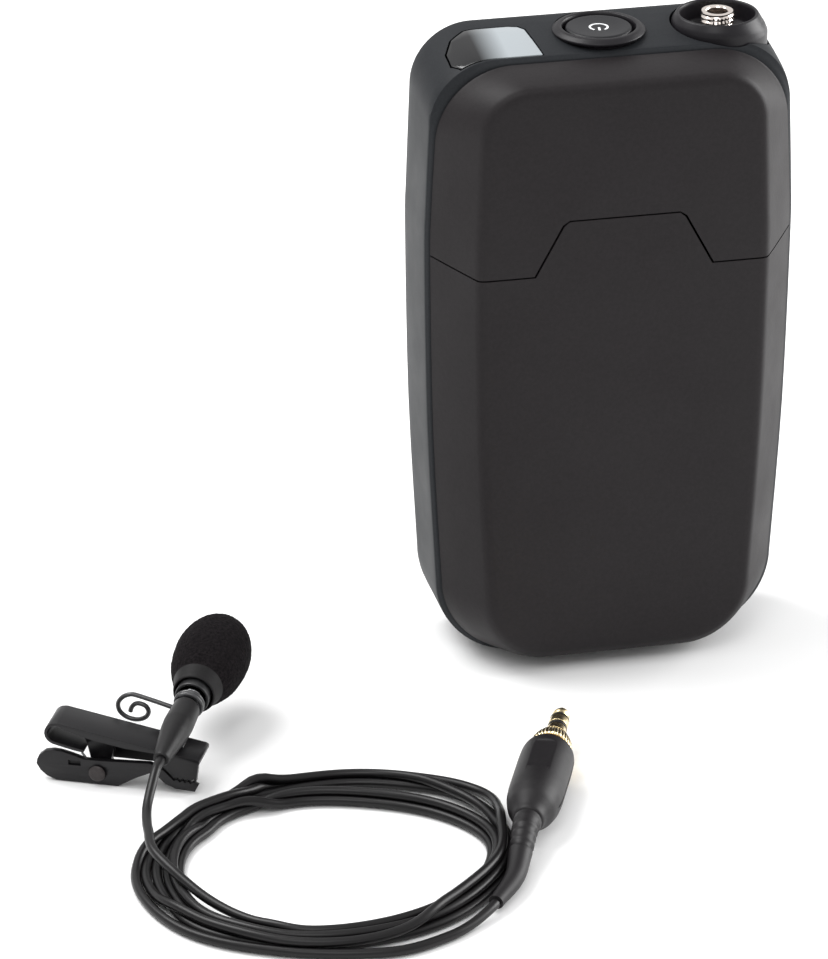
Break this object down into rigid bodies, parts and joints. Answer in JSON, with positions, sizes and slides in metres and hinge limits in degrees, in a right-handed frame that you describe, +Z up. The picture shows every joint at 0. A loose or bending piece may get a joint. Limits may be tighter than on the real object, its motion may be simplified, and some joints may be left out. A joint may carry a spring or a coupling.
{
  "type": "wireless lavalier microphone set",
  "caption": "Clip-on lavalier microphone with foam windshield, coiled lead with a screw-locking jack plug, and the belt-pack transmitter it plugs into.",
  "frame": {"origin": "centre of the belt pack's flat foot, on the surface it stands on", "axes": "+Z up the standing pack, +Y out of its belt side, +X to the socket side"},
  "size_m": [0.1421, 0.1303, 0.1172],
  "materials": {
    "shell_grey": "satin",
    "shell_charcoal": "fine matt",
    "window_gloss": "gloss",
    "trim_dark": "satin",
    "button_grey": "satin",
    "gold_pale": "polished plate",
    "inner_black": "matt",
    "circuit_board": "solder mask",
    "tin_plate": "tinned",
    "light_lens": "clear moulded",
    "copper_wire": "plain",
    "cell_can": "printed sleeve",
    "spring_wire": "plain",
    "black_wire": "black plated",
    "clip_black": "black satin",
    "foam": "open-cell foam",
    "mic_black": "black satin",
    "neck_metal": "dark polished",
    "mic_rubber": "satin",
    "cable": "satin",
    "plug_rubber": "satin",
    "gold": "gold plate"
  },
  "bodies": {
    "base": {"rear_shell": "shell_grey", "front_cover": "shell_charcoal", "status_window": "window_gloss", "button_bezel": "trim_dark", "socket_collar": "trim_dark", "socket_sleeve": "gold_pale", "socket_body": "inner_black", "main_board": "circuit_board", "rf_shield": "tin_plate", "tact_switch": "inner_black", "status_light": "light_lens", "antenna": "copper_wire", "battery_tray": "inner_black", "battery_left": "cell_can", "battery_right": "cell_can", "battery_spring_left": "spring_wire", "battery_spring_right": "spring_wire", "battery_contact_left": "spring_wire", "battery_contact_right": "spring_wire", "case_screw_left": "spring_wire", "case_screw_right": "spring_wire", "clip_upper_lever": "clip_black", "clip_pin": "black_wire", "clip_spring": "spring_wire", "mic_housing": "mic_black", "mic_capsule": "spring_wire", "mic_grille": "black_wire", "mic_neck": "neck_metal", "cable_boot": "mic_rubber", "mic_holder": "clip_black", "clip_wire_hook": "black_wire", "lead_drop": "cable", "lead_coil": "cable", "lead_tail": "cable", "plug_relief": "plug_rubber", "plug_body": "plug_rubber", "plug_sleeve": "gold", "plug_ring": "gold", "plug_tip": "gold", "plug_insulator_front": "inner_black", "plug_insulator_rear": "inner_black"},
    "windshield": {"windshield": "foam"},
    "battery_door": {"battery_door": "shell_charcoal"},
    "power_button": {"power_button": "button_grey"},
    "belt_clip": {"belt_clip": "black_wire"},
    "clip_lower_lever": {"clip_lower_lever": "clip_black"},
    "plug_collar": {"plug_collar": "gold"}
  },
  "joints": [
    {"name": "battery_door_slide", "type": "slide", "parent": "base", "child": "battery_door", "axis": [0, 0, -1], "range_m": [0, 0.012]},
    {"name": "power_button_press", "type": "slide", "parent": "base", "child": "power_button", "axis": [0, 0, -1], "range_m": [0, 0.0008], "stiffness_N_per_m": 600},
    {"name": "belt_clip_hinge", "type": "hinge", "parent": "base", "child": "belt_clip", "pos_m": [0, 0.0176, 0.1093], "axis": [1, 0, 0], "range_deg": [0, 25], "stiffness_Nm_per_rad": 0.4, "springref_deg": -17.19},
    {"name": "tie_clip_hinge", "type": "hinge", "parent": "base", "child": "clip_lower_lever", "pos_m": [-0.09778, -0.03364, 0.0022], "axis": [0.4226, 0.9063, 0], "range_deg": [0, 6], "stiffness_Nm_per_rad": 0.05, "springref_deg": -22.92},
    {"name": "plug_nut_spin", "type": "hinge", "parent": "base", "child": "plug_collar", "pos_m": [-0.0162, -0.0363, 0.0049], "axis": [0.3795, 0.9252, 0], "continuous": true},
    {"name": "windshield_slide", "type": "slide", "parent": "base", "child": "windshield", "axis": [0.4295, 0.9004, 0.0698], "range_m": [0, 0.016]}
  ]
}
